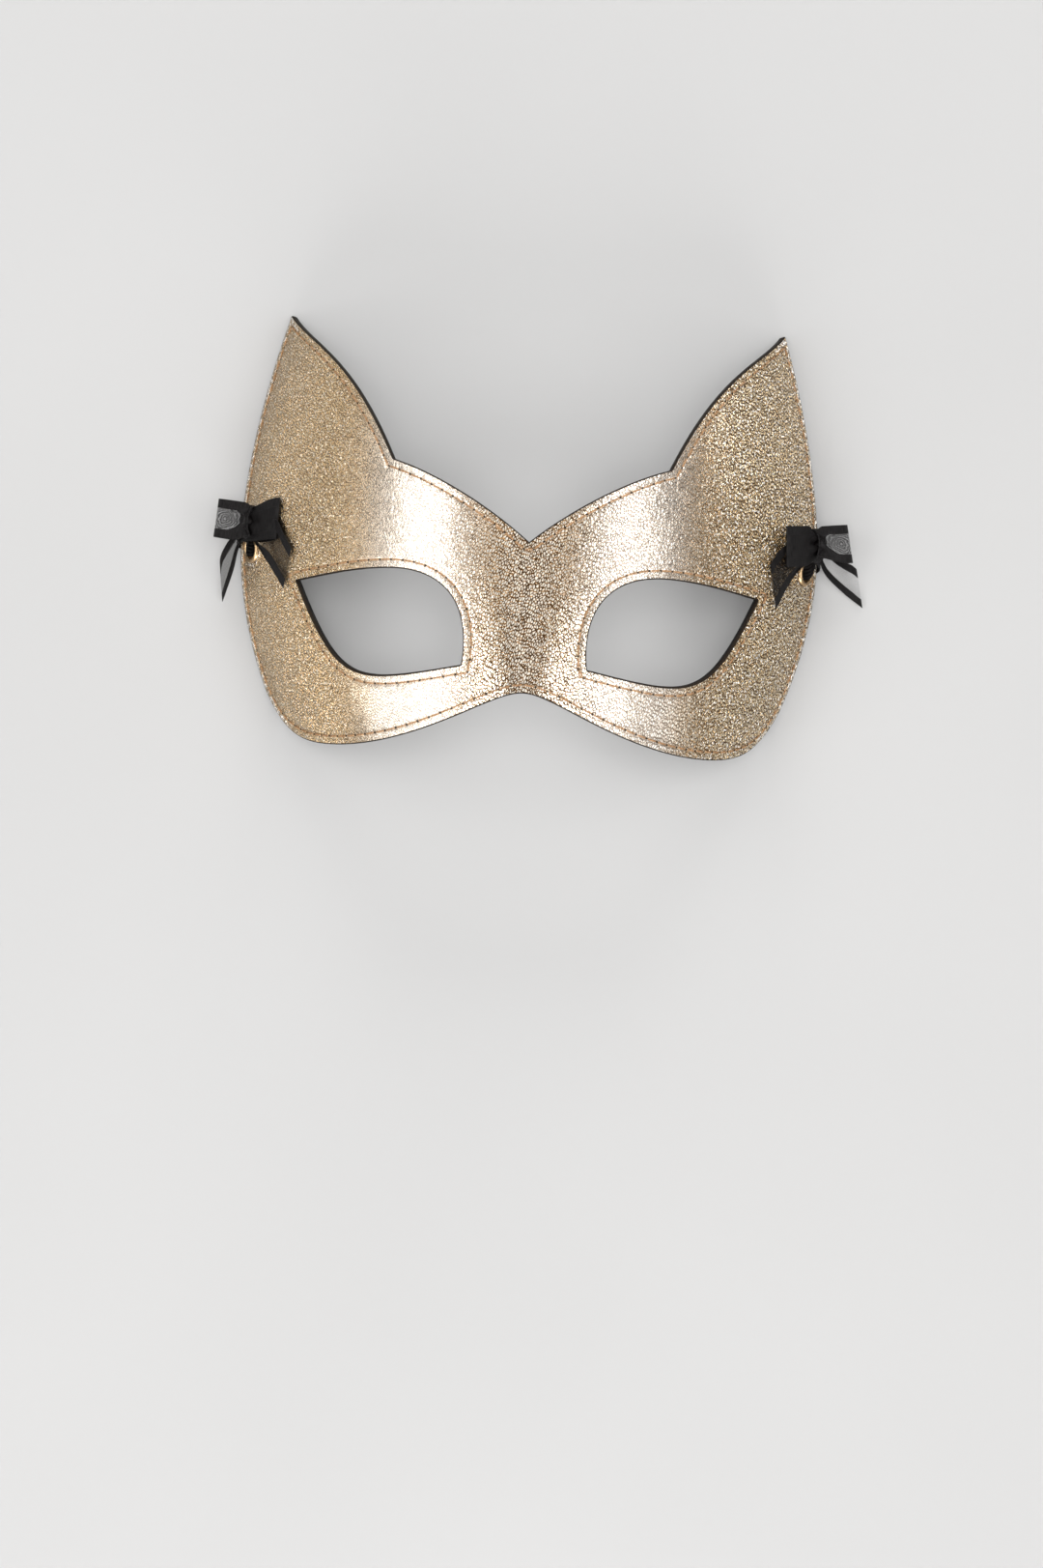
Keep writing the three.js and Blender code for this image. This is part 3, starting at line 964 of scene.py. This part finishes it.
def loop_strip(centre, loop, seed):
    """A loop is a flattened oval seen from its edge, and is gathered where it meets the knot."""
    into_knot = 0.8 * mm
    along = np.array(loop["way"]) / np.linalg.norm(loop["way"])
    across = np.array([-math.sin(loop["lean"]), math.cos(loop["lean"]), loop["tilt"]])
    rise = np.cross(along, across)
    rise /= np.linalg.norm(rise)
    reach = loop["length"] * mm / 2
    angle = np.linspace(math.radians(150), -math.radians(150), 61)[:, None]
    middle = centre + along * (reach * (1 + np.cos(angle)) - into_knot)
    middle = middle + rise * loop["deep"] * mm * np.sin(angle)
    towards_fold = (1 + np.cos(angle)) / 2
    edges = []
    for side, (gathered, spread) in ((-1, loop["below"]), (1, loop["above"])):
        fullness = gathered + (1 - gathered) * eased(towards_fold / spread)
        edges.append(middle + across * side * fullness * loop["tall"] / 2 * mm)
    closeness = 1
    if loop["open"]:
        from_fold = (1 - towards_fold) * loop["length"]
        open_length = 6.8 - 36 * (np.linspace(0, 1, ribbon_columns) - 0.55) ** 2
        fading = 1.2
        closeness = 2 * eased((from_fold - open_length) / fading + 0.5) - 1
    return strip_grid(*edges, pleats=2.5, seed=seed, closeness=closeness)


def tail_strip(pairs, seed, closeness):
    """A loose end between two edges given as pairs of points."""
    edges = [smooth_line(edge, 41) for edge in np.array(pairs).transpose(1, 0, 2)]
    return strip_grid(*edges, pleats=2.5, seed=seed, closeness=closeness)


def knot_strip(centre, s, v):
    """The turn of ribbon round the knot, with its axis across the mask."""
    angle = np.linspace(0, 2 * math.pi, 49)[:, None]
    out = face_normal(np.array(s * mm), np.array(v * mm))
    upright = np.array([0, 1.0, 0])
    aside = np.cross(upright, out) * knot_size["wide"]
    ring = knot_size["tall"] * np.cos(angle) * upright + knot_size["deep"] * np.sin(angle) * out
    edges = centre + ring - aside, centre + ring + aside
    return strip_grid(*edges, pleats=3.5, seed=0.6, closeness=1)


def tie_strip(knot_s, knot_v):
    """The strand through the eyelet and round the edge, from the knot and back to it."""
    edge = bend_at(np.array(eyelet_centre[1]))[1] / mm
    eyelet_s, eyelet_v = (part / mm for part in eyelet_centre)
    rear = backing_rear / mm
    behind = -(rear + 0.7)
    farthest = behind - 0.75
    inside_edge = 97
    route = [
        (knot_s + 1.2, knot_v - 2.4, 2),
        ((knot_s + eyelet_s) / 2 + 0.6, eyelet_v + 2.1, 2),
        (eyelet_s + 0.4, eyelet_v + 0.5, 1.2),
        (eyelet_s, eyelet_v + 0.1, -0.6),
        (eyelet_s, eyelet_v + 0.1, -rear - 0.3),
        (eyelet_s + 0.6, eyelet_v + 0.1, farthest),
        (eyelet_s + 4.2, eyelet_v + 0.3, farthest),
        (edge - 0.8, eyelet_v + 0.9, behind),
        (edge + 0.6, eyelet_v + 1.5, -rear),
        (edge + 0.8, eyelet_v + 2.1, -1.2),
        (edge + 0.3, eyelet_v + 2.9, 0.5),
        (inside_edge, eyelet_v + 3.7, 1.2),
        (knot_s + 2, knot_v - 2.6, 2),
    ]
    line = smooth_line([laid(*point) for point in route], 61)
    half = np.array([0, tie_width / 2, 0])
    edges = line - half, line + half
    return strip_grid(*edges, pleats=4.5, seed=0.3, closeness=1, fullness=0.5)


# Both bows are given as on the left, in millimetres. The knot and the inner tail stand at a height
# above a place on the flat pattern, and the outer tail is x, y and z. A tail is pairs of points,
# one on each edge of the ribbon. Below and above give a loop's edges: the share of its width that
# they have at the knot, and the share of the way to the fold after which they have all of it.
left_bow = {
    "knot": (91.6, 1, 2.5),
    "outer_loop": {
        "way": (1, 0.1, 0.12),
        "length": 10.2,
        "deep": 2.3,
        "lean": 0.19,
        "tilt": 0,
        "tall": 10.5,
        "below": (0.56, 0.9),
        "above": (0.6, 0.36),
        "open": True,
    },
    "inner_loop": {
        "way": (-0.56, -0.07, 0.83),
        "length": 16,
        "deep": 1.5,
        "lean": 0.04,
        "tilt": 0.05,
        "tall": 11.1,
        "below": (0.55, 0.6),
        "above": (0.55, 0.5),
        "open": False,
    },
    "inner_tail": [
        ((90.6, -2, 2.6), (88.8, 2.2, 2.6)),
        ((83.2, -6.5, 2.2), (79.5, 1.1, 1.8)),
        ((79.6, -11.4, 1.3), (75.1, -1.8, 1.3)),
        ((76.2, -17, 1.1), (72.4, -5.1, 1.1)),
    ],
    "inner_tail_closeness": 0.55,
    "outer_tail": [
        ((79.2, -1.1, 7), (81.4, 0.1, 8)),
        ((81.4, -6, 3.6), (85.6, -2.3, 6.5)),
        ((86.6, -10.8, 1.6), (89, -3.7, 5)),
        ((92.4, -15, 0.9), (90.1, -4.5, 3.6)),
    ],
    "outer_tail_closeness": 0,
}
right_bow = {
    "knot": (87.8, 0.6, 2.5),
    "outer_loop": {
        "way": (1, 0.1, 0.12),
        "length": 10.2,
        "deep": 2.3,
        "lean": 0.1,
        "tilt": 0,
        "tall": 10.5,
        "below": (0.66, 0.5),
        "above": (0.76, 0.3),
        "open": True,
    },
    "inner_loop": {
        "way": (-0.56, 0.08, 0.58),
        "length": 12.2,
        "deep": 1,
        "lean": 0.05,
        "tilt": -0.1,
        "tall": 11.3,
        "below": (0.89, 0.5),
        "above": (0.68, 1),
        "open": False,
    },
    "inner_tail": [
        ((86, -3.7, 2.4), (85.2, -1.7, 2.4)),
        ((82.5, -7.4, 2), (77.4, 1.6, 1.8)),
        ((78.6, -11.7, 1.3), (73.5, -2.6, 1.3)),
        ((73.8, -17, 1.1), (70.6, -6.2, 1.1)),
    ],
    "inner_tail_closeness": 0.28,
    "outer_tail": [
        ((76.6, -2.8, 10.9), (77.6, -0.4, 11.3)),
        ((78.8, -4.2, 7), (81.6, -3.7, 9)),
        ((80, -7.2, 4), (83.6, -7, 8.6)),
        ((81.1, -12.2, 2), (84.3, -9.2, 8.2)),
        ((83.7, -20.7, 0.9), (84.3, -11, 7.6)),
    ],
    "outer_tail_closeness": 0.24,
}


def bow_strips(bow):
    knot_s, knot_v, knot_out = bow["knot"]
    centre = laid(knot_s, knot_v, knot_out)
    inner_tail = [[laid(*point) for point in pair] for pair in bow["inner_tail"]]
    outer_tail = np.array(bow["outer_tail"]) * mm
    return [
        loop_strip(centre, bow["outer_loop"], seed=0.4),
        loop_strip(centre, bow["inner_loop"], seed=1.7),
        tail_strip(inner_tail, seed=0.9, closeness=bow["inner_tail_closeness"]),
        tail_strip(outer_tail, seed=2.1, closeness=bow["outer_tail_closeness"]),
        knot_strip(centre, knot_s, knot_v),
        tie_strip(knot_s, knot_v),
    ]


def bow_piece(name, side, bow):
    places, lays, faces, first = [], [], [], 0
    for grid, lay in bow_strips(bow):
        rows, columns, _ = grid.shape
        for i in range(rows - 1):
            for k in range(columns - 1):
                corner = first + i * columns + k
                faces.append((corner, corner + 1, corner + columns + 1, corner + columns))
        places.append(grid.reshape(-1, 3))
        lays.append(lay.reshape(-1, 3))
        first += rows * columns
    piece = new_piece(name, np.concatenate(places) * np.array([side, 1, 1]), faces)
    keep_measure(piece, "lay", np.concatenate(lays))
    thicken = piece.modifiers.new("thickness", "SOLIDIFY")
    thicken.thickness = ribbon_thickness
    thicken.offset = 0
    bpy.ops.object.modifier_apply(modifier=thicken.name)
    bpy.ops.object.shade_smooth_by_angle(angle=math.radians(70))
    piece.select_set(False)
    return piece


def organza_ribbon():
    material, shader, nodes = bare_material("organza_ribbon")
    lay = measure(nodes, "lay", "Vector")
    across, along, closeness = lay.axis(0), lay.axis(1), lay.axis(2)
    from_centre_line = across - ribbon_width / mm / 2
    satin = from_centre_line.absolute().smooth(2.75, 2.95)
    thread_wave, rib_wave, ring_wave = 26, 22, 8
    warp = (across * thread_wave).sine()
    weft = (along * thread_wave).sine()
    threads = warp.larger(weft).smooth(-0.1, 0.6)
    ribs = (along * rib_wave).sine()
    # Where two layers lie over each other their threads beat, and rings show
    from_fold = along.absolute() - 3
    spot = nodes.node("ShaderNodeCombineXYZ", None, {0: from_centre_line * 1.2, 1: from_fold})
    swirl = spot.node("ShaderNodeVectorMath", {"operation": "LENGTH"}, {0: spot}, output=1)
    rings = ((swirl + spot.noise(0.4, 1) * 2.4) * ring_wave).sine()
    doubled = 1 - closeness.smooth(-0.7, 0)
    weave = threads * 0.07 + 0.02 + doubled * (rings * 0.14 + 0.21)
    bunched = closeness.larger(0)
    # Painted sheen: streaks of lighter black run along the ribbon
    sheen_streaks = lay.vector("MULTIPLY", (0.5, 4, 1)).noise(1, 3)
    feed(
        shader,
        {
            "Base Color": sheen_streaks.ramp((0.35, shaded_black), (0.65, sheen_black)),
            "Roughness": 0.5 - satin * 0.08,
            "Specular IOR Level": 0.1,
            "Alpha": satin.larger(weave + (1 - weave) * bunched),
            "Normal": bump(nodes, ribs * satin + warp * 0.4, 0.03 * mm),
        },
    )
    return material


ribbon_material = organza_ribbon()
for name, side, bow in (("left", 1, left_bow), ("right", -1, right_bow)):
    ribbon = bow_piece(f"{name}_ribbon_bow", side, bow)
    ribbon.data.materials.append(ribbon_material)
    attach(ribbon, "root")
    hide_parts(f"{name}_bow")

# Floor, lights and camera
# The mask lies on a plain pale table, and the camera looks straight down from 1.3 m. A tall softbox
# stands at each side of it, fills light the table from above and from both ends, and panels and a
# strip at the sides give the bent foil more to mirror.

floor_height = -0.05 * mm
floor_shade = (0.27, 0.268, 0.266, 1)
floor_pale = (0.28, 0.278, 0.276, 1)
studio_white = (1, 0.99, 0.98, 1)
studio_strength = 0.28
camera_place = (0.7 * mm, -67.3 * mm, 1300 * mm)
camera_turn = math.radians(2.45)

bpy.ops.mesh.primitive_plane_add(size=8, location=(0, 0, floor_height))
floor = bpy.context.object
floor.name = "floor"
bpy.ops.object.mode_set(mode="EDIT")
bpy.ops.mesh.select_all(action="SELECT")
bpy.ops.mesh.subdivide(number_cuts=3)
bpy.ops.object.mode_set(mode="OBJECT")
floor.select_set(False)
floor_material, floor_shader, floor_nodes = bare_material("pale_floor")
floor_place = floor_nodes.node("ShaderNodeTexCoord", output="Object")
floor_tone = floor_place.noise(6, 2).ramp((0.3, floor_shade), (0.7, floor_pale))
feed(floor_shader, {"Base Color": floor_tone, "Roughness": 0.8})
floor.data.materials.append(floor_material)


def softbox(name, angle, tilt, distance, size, radiance):
    """A softbox seen from the mask at an angle beside the camera and a tilt towards the ears."""
    light = bpy.data.lights.new(name, "AREA")
    light.shape = "RECTANGLE"
    light.size, light.size_y = size
    light.energy = radiance * math.pi * size[0] * size[1]
    lamp = bpy.data.objects.new(name, light)
    bpy.context.collection.objects.link(lamp)
    sideways, lengthways = math.radians(angle), math.radians(tilt)
    way = Vector(
        (
            math.sin(sideways) * math.cos(lengthways),
            math.sin(lengthways),
            math.cos(sideways) * math.cos(lengthways),
        )
    )
    lamp.location = way * distance
    lamp.rotation_euler = (-lengthways, sideways, 0)
    return lamp


softbox("left_softbox", 36, -4, 1.0, (0.31, 1.2), 5.2)
softbox("right_softbox", -37, -4, 1.0, (0.33, 1.2), 5.2)
softbox("left_low_panel", 60, -26, 1.0, (0.45, 0.35), 1.3)
softbox("right_low_panel", -60, -26, 1.0, (0.45, 0.35), 2.9)
softbox("left_strip", 80, 28, 1.0, (0.06, 0.6), 9)
softbox("right_panel", -78, 0, 1.0, (0.45, 1), 0.3)
softbox("far_fill", 0, 66, 1.1, (0.9, 0.5), 9.5)
softbox("near_fill", 0, -66, 1.1, (0.9, 0.5), 9.5)
overhead = softbox("overhead_fill", 0, 0, 1.5, (0.7, 0.7), 9)
overhead.visible_glossy = False
softbox("overhead_panel", 0, 0, 1.6, (0.8, 1.2), 0.75)

world = bpy.data.worlds.new("studio")
world.use_nodes = True
world.node_tree.nodes["Background"].inputs["Color"].default_value = studio_white
world.node_tree.nodes["Background"].inputs["Strength"].default_value = studio_strength
bpy.context.scene.world = world
bpy.context.scene.view_settings.view_transform = "Standard"

camera_data = bpy.data.cameras.new("camera")
camera_data.sensor_width = 36
camera_data.lens = 108.4
camera = bpy.data.objects.new("camera", camera_data)
camera.location = camera_place
camera.rotation_euler = (0, 0, camera_turn)
bpy.context.collection.objects.link(camera)
bpy.context.scene.camera = camera
